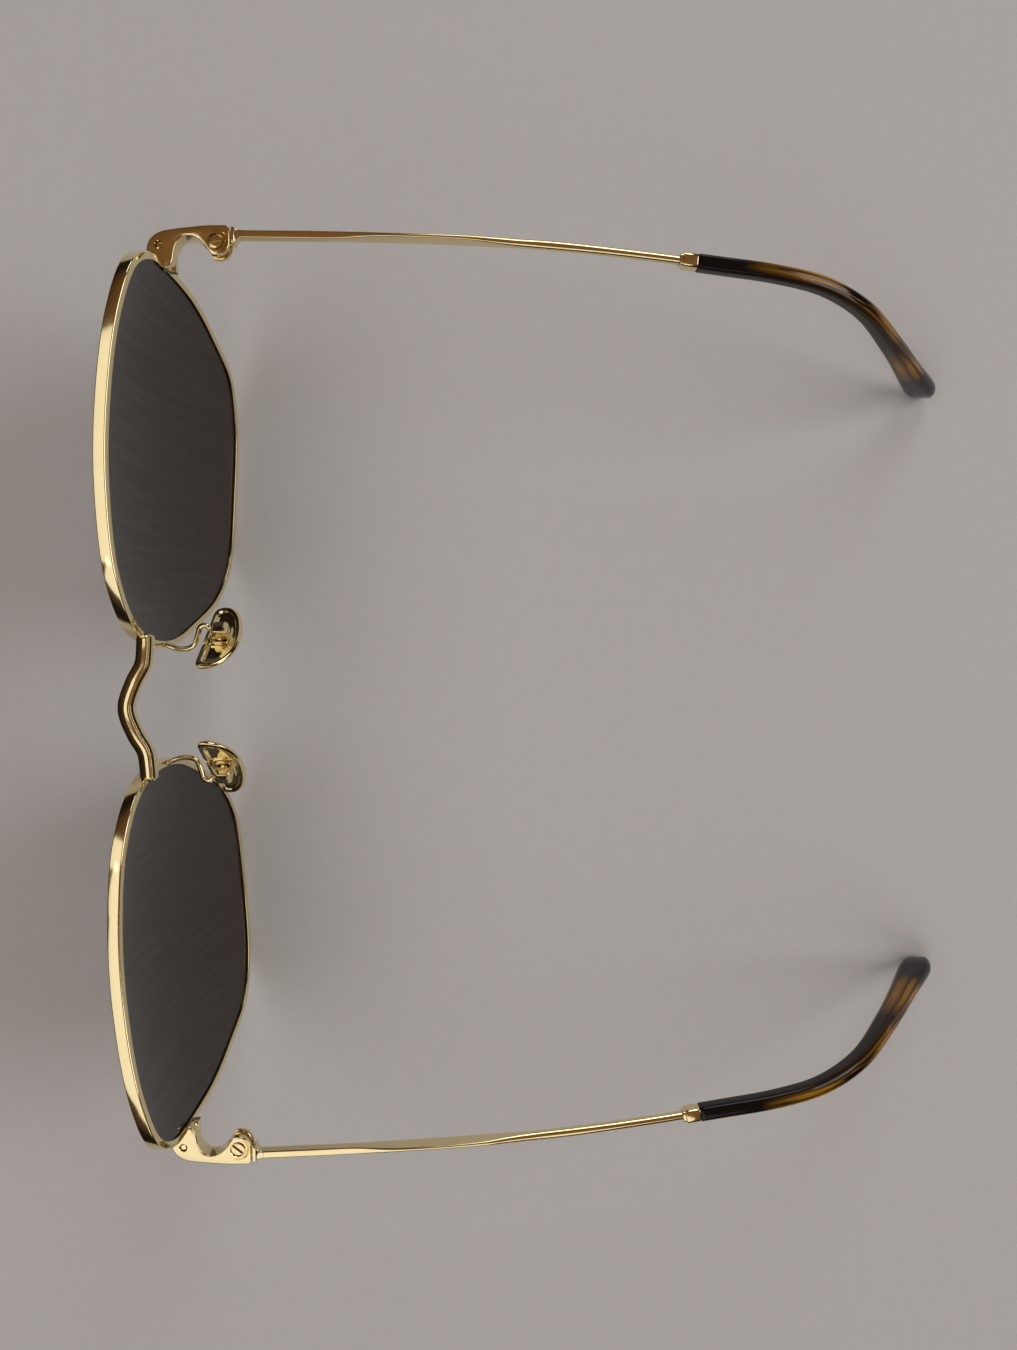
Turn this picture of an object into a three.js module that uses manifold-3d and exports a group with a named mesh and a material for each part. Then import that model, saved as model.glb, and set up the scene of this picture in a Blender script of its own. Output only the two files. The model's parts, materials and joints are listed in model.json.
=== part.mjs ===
// Metal-framed sunglasses, open and standing on the lower rims and the temple tips.
// Millimetres, +Z up, +X towards the wearer's left, +Y towards the back of the head.
// The origin is on the table, under the middle of the whole part.
import * as THREE from 'three';
import { mergeVertices } from 'three/addons/utils/BufferGeometryUtils.js';
import Module from 'manifold-3d';

const wasm = await Module();
wasm.setup();

// ---- Driving dimensions -------------------------------------------------------------------

const CENTRE_TO_HINGE = 55.72; // the hinge line lies this far in front of the origin

const LENS = {
  centre: [37.4, -12.85, 23.713], // boxing centre, measured from the hinge line
  tilt: 9.2, // degrees, top forward
  wrap: 3, // degrees, temple side back
  baseCurve: 100, // radius of the spherical surface
  thickness: 1.1,
};
// The lens outline, from the rim's split up the temple side, over the brow and round by the nose.
const LENS_OUTLINE = [
  [28.0, 10.2], [27.2, 17.0], [24.3, 21.9], [18.0, 23.6], [5.0, 23.1], [-8.0, 22.6],
  [-18.6, 21.9], [-24.6, 18.6], [-27.4, 12.0], [-27.6, 3.0], [-25.0, -6.0], [-20.0, -16.0],
  [-12.5, -21.6], [0.0, -23.6], [11.2, -22.4], [18.9, -18.3], [24.1, -10.0], [27.2, -1.0],
];

const RIM = {
  depth: 1.9, // front to back
  outer: 0.75, // outer face beyond the lens edge
  floor: 0.12, // groove floor beyond the lens edge
  lip: 0.35, // lips in front of and behind the lens
  lipThickness: 0.24,
  chamfer: 0.2,
  split: 0.3, // gap that the closing screw pulls shut
  steps: 64,
};
const FIT_GAP = 0.1; // between soldered or seated neighbours

const ENDPIECE = { top: 36.5, height: 2.9, leaf: 0.7, blockBottom: 34.6, blockBack: -6.3 };
const HINGE = { x: 68.6, barrel: 2.0, tongue: 1.65, slotFront: -2.0, tongueGap: 0.1, butt: 2.15 };
const RIM_LOCK = { top: 34.5, bottom: 33.1 };
const RIM_SCREW = { x: 68.0, y: -8.25, radius: 0.5, headRadius: 0.95, head: 0.35, end: 36.25, slotTurn: 20 };
const HINGE_SCREW = { radius: 0.6, headRadius: 1.02, head: 0.3, bottom: 33.5, slotTurn: 50 };
const SCREW_CLEARANCE = 0.08;
const SCREW_SLOT = { width: 0.34, depth: 0.18 };

const BRIDGE = { depth: 2.3, height: 2.3, chamfer: 0.5, steps: 26 };
const BRIDGE_HALF = [
  [11.0, -10.9, 39.3], [8.7, -10.9, 39.6], [6.4, -11.1, 40.0], [3.8, -12.35, 40.4],
];
const BRIDGE_MIDDLE = [0, -13.45, 40.6];

const PAD = {
  centre: [10.0, -1.7, 31.2],
  splay: -42, // degrees about the front-to-back axis, tops together
  thickness: 1.0,
  bevel: 0.25,
  pivot: 1.5, // screw axis beyond the pad's middle plane
  boss: [1.5, 1.1, 1.8],
  box: [1.75, 2.5, 2.4],
  boxWall: 0.45,
  boxBase: 0.85,
  screwRadius: 0.3,
  screwLength: 2.6,
};
const PAD_ARM = { radius: 0.42, steps: 22 };
const PAD_ARM_POINTS = [
  [9.4, -10.6, 31.3], [8.7, -9.2, 31.5], [8.4, -7.4, 31.6], [8.9, -5.9, 31.8],
  [10.4, -5.2, 32.0], [11.8, -4.7, 32.1], [12.0, -3.8, 32.2], [11.3, -3.1, 32.2],
];

// The temple's centre line from the hinge to the end of the tip.
const TEMPLE_POINTS = [
  [70.0, 3.7, 35.05], [70.2, 20.0, 34.6], [70.1, 36.0, 34.1], [69.6, 50.0, 33.7],
  [68.4, 65.0, 33.2], [67.2, 76.0, 32.9], [66.1, 86.0, 32.4], [64.8, 94.0, 31.0],
  [62.5, 102.0, 27.1], [59.4, 110.0, 19.6], [56.8, 118.0, 10.2], [55.0, 125.8, 0.3],
];
// Distance along the temple, width across, and height.
const TEMPLE_SIZES = [
  [0, 1.15, 1.6], [14, 1.15, 1.6], [20, 0.75, 2.6], [34, 0.75, 2.6], [41, 1.4, 1.4], [150, 1.4, 1.4],
];
// Distance from the tip's start, width across, and height.
const TIP_SIZES = [
  [0, 2.4, 2.4], [20, 2.6, 2.8], [34, 2.8, 3.3], [50, 3.0, 4.4], [64, 3.1, 5.9], [90, 3.1, 5.9],
];
const TEMPLE_STEPS = 44;
const CORE_STEPS = 14;
const COLLAR = { start: 66.5, length: 2.8, size: 2.4, corner: 0.25 };
const TIP = { start: 69.4, steps: 30, stepsAtEnd: 0.25, roundedEnd: 6.0, corner: 0.32 };
const CORE_SHORT_OF_END = 14; // the wire stops this far short of the tip's end
const CORE_CLEARANCE = 0.2;

const GOLD = { color: 0xdccda5, roughness: 0.18, metalness: 1 };
const SMOKE = { color: 0x2e2926, roughness: 0.05, metalness: 0 };
const TORTOISE = { color: 0x241a12, roughness: 0.15, metalness: 0 };

// ---- Solids, cuts and placing -------------------------------------------------------------

function solidOf(geometry) {
  const bare = geometry.clone();
  bare.deleteAttribute('normal');
  bare.deleteAttribute('uv');
  const merged = mergeVertices(bare, 1e-5);
  return new wasm.Manifold(new wasm.Mesh({
    numProp: 3,
    vertProperties: new Float32Array(merged.getAttribute('position').array),
    triVerts: new Uint32Array(merged.index.array),
  }));
}

function geometryOf(solid) {
  const { vertProperties, triVerts } = solid.getMesh();
  const geometry = new THREE.BufferGeometry();
  geometry.setAttribute('position', new THREE.BufferAttribute(vertProperties, 3));
  geometry.setIndex(new THREE.BufferAttribute(triVerts, 1));
  geometry.computeVertexNormals();
  return geometry;
}

function cut(geometry, ...tools) {
  return geometryOf(tools.reduce((solid, tool) => solid.subtract(solidOf(tool)), solidOf(geometry)));
}

function join(geometry, ...others) {
  return geometryOf(others.reduce((solid, other) => solid.add(solidOf(other)), solidOf(geometry)));
}

function common(geometry, other) {
  return geometryOf(solidOf(geometry).intersect(solidOf(other)));
}

// The same solid on the other side of the YZ plane, with its faces still pointing out.
function mirrored(geometry) {
  const bare = geometry.clone().scale(-1, 1, 1);
  bare.deleteAttribute('normal');
  bare.deleteAttribute('uv');
  const merged = mergeVertices(bare, 1e-5);
  const index = merged.index;
  for (let i = 0; i < index.count; i += 3) {
    const second = index.getX(i + 1);
    index.setX(i + 1, index.getX(i + 2));
    index.setX(i + 2, second);
  }
  merged.computeVertexNormals();
  return merged;
}

function vectors(points) {
  return points.map((point) => new THREE.Vector3(...point));
}

function polygon(points) {
  return new THREE.Shape(points.map(([x, y]) => new THREE.Vector2(x, y)));
}

function circle(radius) {
  return new THREE.Shape().absarc(0, 0, radius, 0, 2 * Math.PI);
}

function chamferedRectangle(width, height, chamfer) {
  const [x, y, c] = [width / 2, height / 2, chamfer];
  return polygon([
    [x, c - y], [x, y - c], [x - c, y], [c - x, y], [-x, y - c], [-x, c - y], [c - x, -y], [x - c, -y],
  ]);
}

function roundedRectangle(width, height, radius) {
  const [x, y] = [width / 2 - radius, height / 2 - radius];
  const quarter = Math.PI / 2;
  const shape = new THREE.Shape();
  shape.absarc(x, y, radius, 0, quarter);
  shape.absarc(-x, y, radius, quarter, 2 * quarter);
  shape.absarc(-x, -y, radius, 2 * quarter, 3 * quarter);
  shape.absarc(x, -y, radius, 3 * quarter, 4 * quarter);
  shape.closePath();
  return shape;
}

// A block between two heights on a plan outline.
function plate(shape, bottom, top, curveSegments = 6) {
  const options = { depth: top - bottom, bevelEnabled: false, curveSegments };
  return new THREE.ExtrudeGeometry(shape, options).translate(0, 0, bottom);
}

function block([x0, y0, z0], [x1, y1, z1]) {
  const geometry = new THREE.BoxGeometry(x1 - x0, y1 - y0, z1 - z0);
  return geometry.translate((x0 + x1) / 2, (y0 + y1) / 2, (z0 + z1) / 2);
}

function uprightCylinder(radius, bottom, top, x, y, sides = 20) {
  const geometry = new THREE.CylinderGeometry(radius, radius, top - bottom, sides);
  return geometry.rotateX(Math.PI / 2).translate(x, y, (bottom + top) / 2);
}

// Carries a section along a path: place(share, x, y) says where the section's point x, y lies
// at that share of the path, with x, y and the path's direction a right-handed set.
function sweep(section, steps, curveSegments, place) {
  const options = { depth: 1, steps, bevelEnabled: false, curveSegments };
  const geometry = new THREE.ExtrudeGeometry(section, options);
  const position = geometry.getAttribute('position');
  for (let i = 0; i < position.count; i += 1) {
    const point = place(position.getZ(i), position.getX(i), position.getY(i));
    position.setXYZ(i, point.x, point.y, point.z);
  }
  return geometry;
}

// Reads a column of a table of distances, with straight lines between its rows.
function sizeAt(table, distance, column) {
  const next = Math.max(1, table.findIndex((row) => row[0] >= distance));
  const [from, to] = [table[next - 1], table[next]];
  return THREE.MathUtils.mapLinear(distance, from[0], to[0], from[column], to[column]);
}

// ---- Lens and rim, in the lens's own frame: X to the temple, Y to the back, Z up ---------------

const outline = new THREE.CatmullRomCurve3(
  LENS_OUTLINE.map(([u, v]) => new THREE.Vector3(u, 0, v)), true, 'centripetal');
const outlineLength = outline.getLength();

const sag = (x, z) => LENS.baseCurve - Math.sqrt(LENS.baseCurve ** 2 - x * x - z * z);

const lensMatrix = new THREE.Matrix4().compose(
  new THREE.Vector3(...LENS.centre),
  new THREE.Quaternion().setFromEuler(new THREE.Euler(
    THREE.MathUtils.degToRad(LENS.tilt), 0, THREE.MathUtils.degToRad(LENS.wrap), 'ZYX')),
  new THREE.Vector3(1, 1, 1));

// A section carried round the lens's edge: x is outward from the edge, y is to the back.
function aroundLens(section, split, steps) {
  const open = split / outlineLength;
  return sweep(section, steps, 1, (share, x, y) => {
    const at = open / 2 + share * (1 - open);
    const point = outline.getPointAt(at);
    const tangent = outline.getTangentAt(at);
    const depth = sag(point.x, point.z) + y;
    return new THREE.Vector3(point.x + tangent.z * x, depth, point.z - tangent.x * x);
  });
}

function eyewire() {
  const { outer, floor, lip, lipThickness, chamfer } = RIM;
  const [edge, inside] = [RIM.depth / 2, RIM.depth / 2 - lipThickness];
  const section = polygon([
    [-lip, -edge], [outer - chamfer, -edge], [outer, chamfer - edge], [outer, edge - chamfer],
    [outer - chamfer, edge], [-lip, edge], [-lip, inside], [floor, inside], [floor, -inside], [-lip, -inside],
  ]);
  return aroundLens(section, RIM.split, RIM.steps);
}

// The room that the rim takes in its neighbours, in the front's frame.
function rimRoom() {
  const [inner, outer, edge] = [-2 * RIM.lip, RIM.outer + FIT_GAP, RIM.depth / 2 + FIT_GAP];
  const section = polygon([[inner, -edge], [outer, -edge], [outer, edge], [inner, edge]]);
  return aroundLens(section, 0.02, RIM.steps).applyMatrix4(lensMatrix);
}

function lens() {
  const half = LENS.thickness / 2;
  const radii = [0, 8, 16, 24, 33];
  const front = radii.map((r) => new THREE.Vector2(r, sag(r, 0) - half));
  const back = radii.map((r) => new THREE.Vector2(r, sag(r, 0) + half)).reverse();
  const shell = new THREE.LatheGeometry([...front, ...back], 28);
  const edge = outline.getSpacedPoints(RIM.steps).slice(1).map((point) => [point.x, point.z]);
  const prism = plate(polygon(edge), -sag(33, 0) - LENS.thickness, LENS.thickness);
  return common(prism.rotateX(Math.PI / 2), shell);
}

// ---- Bridge, in the front's frame -------------------------------------------------------------

function bridge() {
  const path = new THREE.CatmullRomCurve3(vectors([
    ...BRIDGE_HALF.map(([x, y, z]) => [-x, y, z]), BRIDGE_MIDDLE, ...[...BRIDGE_HALF].reverse(),
  ]));
  const section = chamferedRectangle(BRIDGE.depth, BRIDGE.height, BRIDGE.chamfer);
  const bar = sweep(section, BRIDGE.steps, 1, (share, x, y) => {
    const tangent = path.getTangentAt(share);
    const back = new THREE.Vector3(-tangent.y, tangent.x, 0).normalize();
    return path.getPointAt(share).addScaledVector(back, x).add(new THREE.Vector3(0, 0, y));
  });
  return cut(bar, rimRoom(), mirrored(rimRoom()));
}

// ---- Endpiece, closing block and hinge, in the front's frame ------------------------------------

function blockFront(shape) {
  shape.moveTo(65.0, -10.0);
  shape.lineTo(67.2, -10.1);
  shape.quadraticCurveTo(69.4, -9.9, 70.1, -7.6);
  return shape;
}

function endpieceOutline() {
  const quarter = Math.PI / 2;
  const shape = blockFront(new THREE.Shape());
  shape.quadraticCurveTo(70.6, -5.0, 70.95, -1.0);
  shape.lineTo(71.0, 1.4);
  shape.quadraticCurveTo(71.0, HINGE.barrel, 70.4, HINGE.barrel);
  shape.absarc(HINGE.x, 0, HINGE.barrel, quarter, 2.2 * quarter);
  shape.bezierCurveTo(67.7, -1.4, 69.4, -2.2, 69.4, -3.9);
  shape.bezierCurveTo(69.4, -5.2, 68.4, -6.0, 66.6, -6.2);
  shape.quadraticCurveTo(64.8, -6.4, 64.7, -7.6);
  shape.closePath();
  return shape;
}

function endpiece() {
  const { top, height, leaf, blockBottom, blockBack } = ENDPIECE;
  const bottom = top - height;
  const slot = block([64, HINGE.slotFront, bottom + leaf], [73, 4, top - leaf]);
  const underBlock = block([62, -12, bottom - 1], [73, blockBack + FIT_GAP, blockBottom]);
  const pivotHole = uprightCylinder(HINGE_SCREW.radius + SCREW_CLEARANCE, bottom - 1, top + 1, HINGE.x, 0);
  const headRoom = uprightCylinder(
    HINGE_SCREW.headRadius + SCREW_CLEARANCE, top - HINGE_SCREW.head - SCREW_CLEARANCE, top + 1, HINGE.x, 0);
  const closingHole = uprightCylinder(
    RIM_SCREW.radius + SCREW_CLEARANCE, bottom - 1, top + 1, RIM_SCREW.x, RIM_SCREW.y);
  const body = plate(endpieceOutline(), bottom, top);
  return cut(body, slot, underBlock, pivotHole, headRoom, closingHole, rimRoom());
}

function rimLock() {
  const shape = blockFront(new THREE.Shape());
  shape.lineTo(70.1, ENDPIECE.blockBack);
  shape.lineTo(64.8, ENDPIECE.blockBack);
  shape.closePath();
  const hole = uprightCylinder(
    RIM_SCREW.radius + SCREW_CLEARANCE, RIM_LOCK.bottom - 1, RIM_LOCK.top + 1, RIM_SCREW.x, RIM_SCREW.y);
  return cut(plate(shape, RIM_LOCK.bottom, RIM_LOCK.top), hole, rimRoom());
}

// A slotted screw that stands on the origin's axis, with the top of its head at z = 0.
function slottedScrew(radius, headRadius, head, length, slotTurn) {
  const half = headRadius + 0.5;
  const slot = block([-half, -SCREW_SLOT.width / 2, -SCREW_SLOT.depth], [half, SCREW_SLOT.width / 2, 1]);
  const top = uprightCylinder(headRadius, -head, 0, 0, 0);
  const shank = uprightCylinder(radius, -length, -head / 2, 0, 0);
  return cut(join(top, shank), slot.rotateZ(THREE.MathUtils.degToRad(slotTurn)));
}

function hingeScrew() {
  const { radius, headRadius, head, bottom, slotTurn } = HINGE_SCREW;
  return slottedScrew(radius, headRadius, head, ENDPIECE.top - bottom, slotTurn);
}

function rimScrew() {
  const { radius, headRadius, head, end, slotTurn } = RIM_SCREW;
  const length = end - (RIM_LOCK.bottom - FIT_GAP / 2) + head;
  return slottedScrew(radius, headRadius, head, length, slotTurn);
}

function templeHinge() {
  const { x, tongue, tongueGap, butt } = HINGE;
  const templeEnd = TEMPLE_POINTS[0][1] - FIT_GAP;
  const low = ENDPIECE.top - ENDPIECE.height + ENDPIECE.leaf + tongueGap;
  const high = ENDPIECE.top - ENDPIECE.leaf - tongueGap;
  const disc = uprightCylinder(tongue, low, high, x, 0, 24);
  const neck = block([x - 0.1, 0, low], [x + 1.4, butt + 0.3, high]);
  const shoulder = polygon([
    [x - 0.1, butt], [x + 2.4, butt], [x + 2.3, butt + 0.4], [x + 2.0, templeEnd], [x + 0.8, templeEnd],
    [x + 0.2, butt + 0.5],
  ]);
  const hole = uprightCylinder(HINGE_SCREW.radius + SCREW_CLEARANCE, low - 1, high + 1, x, 0);
  return cut(join(plate(shoulder, low - 0.5, high + 0.5), neck, disc), hole);
}

// ---- Temple, collar and tip, in the front's frame --------------------------------------------------

const templePath = new THREE.CatmullRomCurve3(vectors(TEMPLE_POINTS));
const templeLength = templePath.getLength();

const evenly = (from, to) => (share) => from + share * (to - from);

// A section of size 1 carried along the temple: distanceAt(share) says where each share of the
// steps lies, and size(distance) gives the width and height there.
function alongTemple(section, distanceAt, steps, curveSegments, size) {
  return sweep(section, steps, curveSegments, (share, x, y) => {
    const distance = distanceAt(share);
    const at = Math.min(1, distance / templeLength);
    const tangent = templePath.getTangentAt(at);
    const outward = new THREE.Vector3(tangent.y, -tangent.x, 0).normalize();
    const down = new THREE.Vector3().crossVectors(tangent, outward);
    const [width, height] = size(distance);
    return templePath.getPointAt(at).addScaledVector(outward, x * width).addScaledVector(down, y * height);
  });
}

function barSection() {
  return chamferedRectangle(1, 1, 0.29);
}

const barSize = (distance) => [sizeAt(TEMPLE_SIZES, distance, 1), sizeAt(TEMPLE_SIZES, distance, 2)];

function temple() {
  return alongTemple(barSection(), evenly(0, templeLength - CORE_SHORT_OF_END), TEMPLE_STEPS, 1, barSize);
}

// The bore for the wire, from a little before the given distance to past the wire's end.
function coreRoom(start) {
  const widen = (distance) => barSize(distance).map((size) => size + 2 * CORE_CLEARANCE);
  const stretch = evenly(start - 2, templeLength - CORE_SHORT_OF_END + 1);
  return alongTemple(barSection(), stretch, CORE_STEPS, 1, widen);
}

function collar() {
  const { start, length, size, corner } = COLLAR;
  const section = roundedRectangle(1, 1, corner);
  const ring = alongTemple(section, evenly(start, start + length), 1, 3, () => [size, size]);
  return cut(ring, coreRoom(start));
}

// The tip's width and height, drawn in to a rounded end.
function tipSize(distance) {
  const left = Math.min(1, (templeLength - distance) / TIP.roundedEnd);
  const round = Math.max(0.12, Math.sqrt(1 - (1 - left) ** 2));
  return [1, 2].map((column) => round * sizeAt(TIP_SIZES, distance - TIP.start, column));
}

function templeTip() {
  const length = templeLength - TIP.start;
  const straight = 1 - TIP.stepsAtEnd; // share of the steps before the rounded end
  const distanceAt = (share) => TIP.start + (share < straight
    ? share / straight * (length - TIP.roundedEnd)
    : length - TIP.roundedEnd * (1 - share) / TIP.stepsAtEnd);
  const sleeve = alongTemple(roundedRectangle(1, 1, TIP.corner), distanceAt, TIP.steps, 2, tipSize);
  return cut(sleeve, coreRoom(TIP.start));
}

// ---- Nose pads ---------------------------------------------------------------------------------

function padArm() {
  const path = new THREE.CatmullRomCurve3(vectors(PAD_ARM_POINTS));
  const wire = new THREE.ExtrudeGeometry(circle(PAD_ARM.radius), {
    extrudePath: path, steps: PAD_ARM.steps, curveSegments: 5, bevelEnabled: false,
  });
  return cut(wire, rimRoom());
}

// The pad's own frame: Z along it, Y to the back, X away from the nose, origin in its middle.
function padOutline() {
  const shape = new THREE.Shape();
  shape.moveTo(-2.9, 6.3);
  shape.bezierCurveTo(-2.4, 7.1, -0.2, 6.7, 0.9, 5.6);
  shape.bezierCurveTo(2.6, 3.9, 3.1, 1.6, 3.0, -0.8);
  shape.bezierCurveTo(2.9, -4.4, 1.6, -7.0, -0.3, -7.0);
  shape.bezierCurveTo(-1.2, -7.0, -1.8, -6.6, -2.0, -5.6);
  shape.lineTo(-3.1, 5.5);
  shape.closePath();
  return shape;
}

function alongY(radius, length, x, sides = 12) {
  return new THREE.CylinderGeometry(radius, radius, length, sides).translate(x, 0, 0);
}

function nosePad() {
  const { thickness, bevel, pivot, boss, screwRadius } = PAD;
  const plateBody = new THREE.ExtrudeGeometry(padOutline(), {
    depth: thickness - 2 * bevel, bevelThickness: bevel, bevelSize: bevel, bevelOffset: -bevel,
    bevelSegments: 1, curveSegments: 6,
  });
  // Turned so that the outline's x runs to the back and its y upwards.
  plateBody.translate(0, 0, bevel - thickness / 2).rotateX(Math.PI / 2).rotateZ(Math.PI / 2);
  const lug = block([0, -boss[1] / 2, -boss[2] / 2], [boss[0] + 0.4, boss[1] / 2, boss[2] / 2]);
  return cut(join(plateBody, lug), alongY(screwRadius + SCREW_CLEARANCE, 4, pivot));
}

function padBox() {
  const { box, boxWall, boxBase, pivot, screwRadius } = PAD;
  const outside = block([boxBase, -box[1] / 2, -box[2] / 2], [boxBase + box[0], box[1] / 2, box[2] / 2]);
  const inside = block(
    [boxBase - 1, boxWall - box[1] / 2, -box[2]], [boxBase + box[0] - boxWall, box[1] / 2 - boxWall, box[2]]);
  return cut(outside, inside, alongY(screwRadius + SCREW_CLEARANCE, 4, pivot));
}

function padScrew() {
  return alongY(PAD.screwRadius, PAD.screwLength, PAD.pivot);
}

// ---- Assembly -------------------------------------------------------------------------------------

const gold = new THREE.MeshStandardMaterial(GOLD);
const smoke = new THREE.MeshStandardMaterial(SMOKE);
const tortoise = new THREE.MeshStandardMaterial(TORTOISE);

// One side's pieces. side is 1 for the wearer's left and -1 for the right, a mirror image.
function half(side, prefix) {
  const group = new THREE.Group();
  const add = (parent, name, geometry, material) => {
    const mesh = new THREE.Mesh(side > 0 ? geometry : mirrored(geometry), material);
    mesh.name = `${prefix}_${name}`;
    parent.add(mesh);
    return mesh;
  };

  const lensFrame = new THREE.Group();
  lensFrame.position.set(side * LENS.centre[0], LENS.centre[1], LENS.centre[2]);
  lensFrame.rotation.set(
    THREE.MathUtils.degToRad(LENS.tilt), 0, side * THREE.MathUtils.degToRad(LENS.wrap), 'ZYX');
  add(lensFrame, 'eyewire', eyewire(), gold);
  add(lensFrame, 'lens', lens(), smoke);

  add(group, 'endpiece', endpiece(), gold);
  add(group, 'rim_lock', rimLock(), gold);
  const closing = add(group, 'rim_screw', rimScrew().rotateX(Math.PI), gold);
  closing.position.set(side * RIM_SCREW.x, RIM_SCREW.y, RIM_LOCK.bottom - FIT_GAP / 2 - RIM_SCREW.head);
  const pivot = add(group, 'hinge_screw', hingeScrew(), gold);
  pivot.position.set(side * HINGE.x, 0, ENDPIECE.top);
  add(group, 'temple_hinge', templeHinge(), gold);
  add(group, 'temple', temple(), gold);
  add(group, 'collar', collar(), gold);
  add(group, 'temple_tip', templeTip(), tortoise);
  add(group, 'pad_arm', padArm(), gold);

  const padFrame = new THREE.Group();
  padFrame.position.set(side * PAD.centre[0], PAD.centre[1], PAD.centre[2]);
  padFrame.rotation.y = side * THREE.MathUtils.degToRad(PAD.splay);
  add(padFrame, 'nose_pad', nosePad(), gold);
  add(padFrame, 'pad_box', padBox(), gold);
  add(padFrame, 'pad_screw', padScrew(), gold);

  group.add(lensFrame, padFrame);
  return group;
}

const sunglasses = new THREE.Group();
const bridgeBar = new THREE.Mesh(bridge(), gold);
bridgeBar.name = 'bridge';
sunglasses.add(bridgeBar, half(1, 'left'), half(-1, 'right'));
sunglasses.position.y = -CENTRE_TO_HINGE;

export default sunglasses;
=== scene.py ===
import json
from math import cos, pi, radians, sin

import bmesh
import bpy
import numpy as np
from bpy.props import FloatProperty, FloatVectorProperty, PointerProperty
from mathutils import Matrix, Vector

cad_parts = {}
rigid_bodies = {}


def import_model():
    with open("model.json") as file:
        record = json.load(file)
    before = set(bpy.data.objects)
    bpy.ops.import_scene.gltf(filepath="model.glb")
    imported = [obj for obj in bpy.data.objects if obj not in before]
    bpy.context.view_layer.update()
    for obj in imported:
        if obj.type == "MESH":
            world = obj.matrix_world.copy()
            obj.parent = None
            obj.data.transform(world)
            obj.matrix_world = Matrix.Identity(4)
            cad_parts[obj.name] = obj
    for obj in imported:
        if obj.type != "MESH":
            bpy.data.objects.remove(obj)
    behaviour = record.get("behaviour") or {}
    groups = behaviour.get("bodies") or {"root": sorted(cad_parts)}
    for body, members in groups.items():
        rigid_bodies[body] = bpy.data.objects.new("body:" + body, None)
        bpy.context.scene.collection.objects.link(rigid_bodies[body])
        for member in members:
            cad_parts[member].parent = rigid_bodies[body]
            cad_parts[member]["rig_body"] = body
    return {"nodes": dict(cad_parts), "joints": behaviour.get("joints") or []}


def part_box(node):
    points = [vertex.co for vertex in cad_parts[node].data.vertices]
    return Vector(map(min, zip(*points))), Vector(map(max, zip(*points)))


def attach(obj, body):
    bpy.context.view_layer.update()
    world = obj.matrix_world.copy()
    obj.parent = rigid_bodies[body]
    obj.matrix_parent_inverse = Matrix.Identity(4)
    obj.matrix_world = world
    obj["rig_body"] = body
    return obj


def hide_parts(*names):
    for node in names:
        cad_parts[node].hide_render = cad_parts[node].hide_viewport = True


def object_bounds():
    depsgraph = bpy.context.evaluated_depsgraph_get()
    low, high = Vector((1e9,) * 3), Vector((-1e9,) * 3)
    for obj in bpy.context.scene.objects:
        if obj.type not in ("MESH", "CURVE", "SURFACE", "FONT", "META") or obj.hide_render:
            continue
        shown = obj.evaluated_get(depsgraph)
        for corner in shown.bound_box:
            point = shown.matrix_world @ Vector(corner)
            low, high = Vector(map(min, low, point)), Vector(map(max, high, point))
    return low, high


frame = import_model()
cad_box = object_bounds()

bl_info = {
    "name": "Metal-Framed Sunglasses",
    "version": (1, 0, 0),
    "blender": (4, 5, 0),
    "location": "View3D > Sidebar > Sunglasses",
    "description": "Builds wire-rimmed sunglasses with tortoise ear tips round a packed frame",
    "category": "Mesh",
}

# Shapes are worked out in millimetres in the front's frame: X to the wearer's left, Y to the back,
# Z up, with the hinge line at y = 0. Finished meshes are in metres in the part's own frame.

MM = 0.001
SIDES = (("left", 1), ("right", -1))
HINGE = np.array(frame["joints"][0]["pos_m"]) / MM
FRONT = np.array([0, HINGE[1], 0])


def node_box(node):
    """Lowest and highest corner of a node of the frame, in millimetres in the front's frame."""
    low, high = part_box(node)
    return np.array(low) / MM - FRONT, np.array(high) / MM - FRONT


PLATE_LOW, PLATE_HIGH = node_box("left_endpiece")
LOCK_LOW, LOCK_HIGH = node_box("left_rim_lock")
PIVOT_LOW, PIVOT_HIGH = node_box("left_hinge_screw")
CLOSER_LOW, CLOSER_HIGH = node_box("left_rim_screw")
PIVOT_X = HINGE[0]
CLOSER = (CLOSER_LOW + CLOSER_HIGH) / 2

# ---- Shapes of the pieces ----

LENS_CENTRE = np.array([37.4, -12.85, 23.713])
LENS_TILT = radians(9.2)
LENS_WRAP = radians(3)
BASE_CURVE = 100.0
LENS_OUTLINE = [
    (28.0, 10.2), (27.2, 17.0), (24.3, 21.9), (18.0, 23.6), (5.0, 23.1), (-8.0, 22.6),
    (-18.6, 21.9), (-24.6, 18.6), (-27.4, 12.0), (-27.6, 3.0), (-25.0, -6.0), (-20.0, -16.0),
    (-12.5, -21.6), (0.0, -23.6), (11.2, -22.4), (18.9, -18.3), (24.1, -10.0), (27.2, -1.0),
]
RIM_LIP = 0.35
RIM_LIP_THICKNESS = 0.24
RIM_FLOOR = 0.12
RIM_SPLIT = 0.3
SOLDER = 0.05  # how far a soldered piece reaches into the rim

BRIDGE_HALF = [(11.0, -10.9, 39.3), (8.7, -10.9, 39.6), (6.4, -11.1, 40.0), (3.8, -12.35, 40.4)]
BRIDGE_MIDDLE = (0, -13.45, 40.6)
BRIDGE_NUB = 0.7

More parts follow.
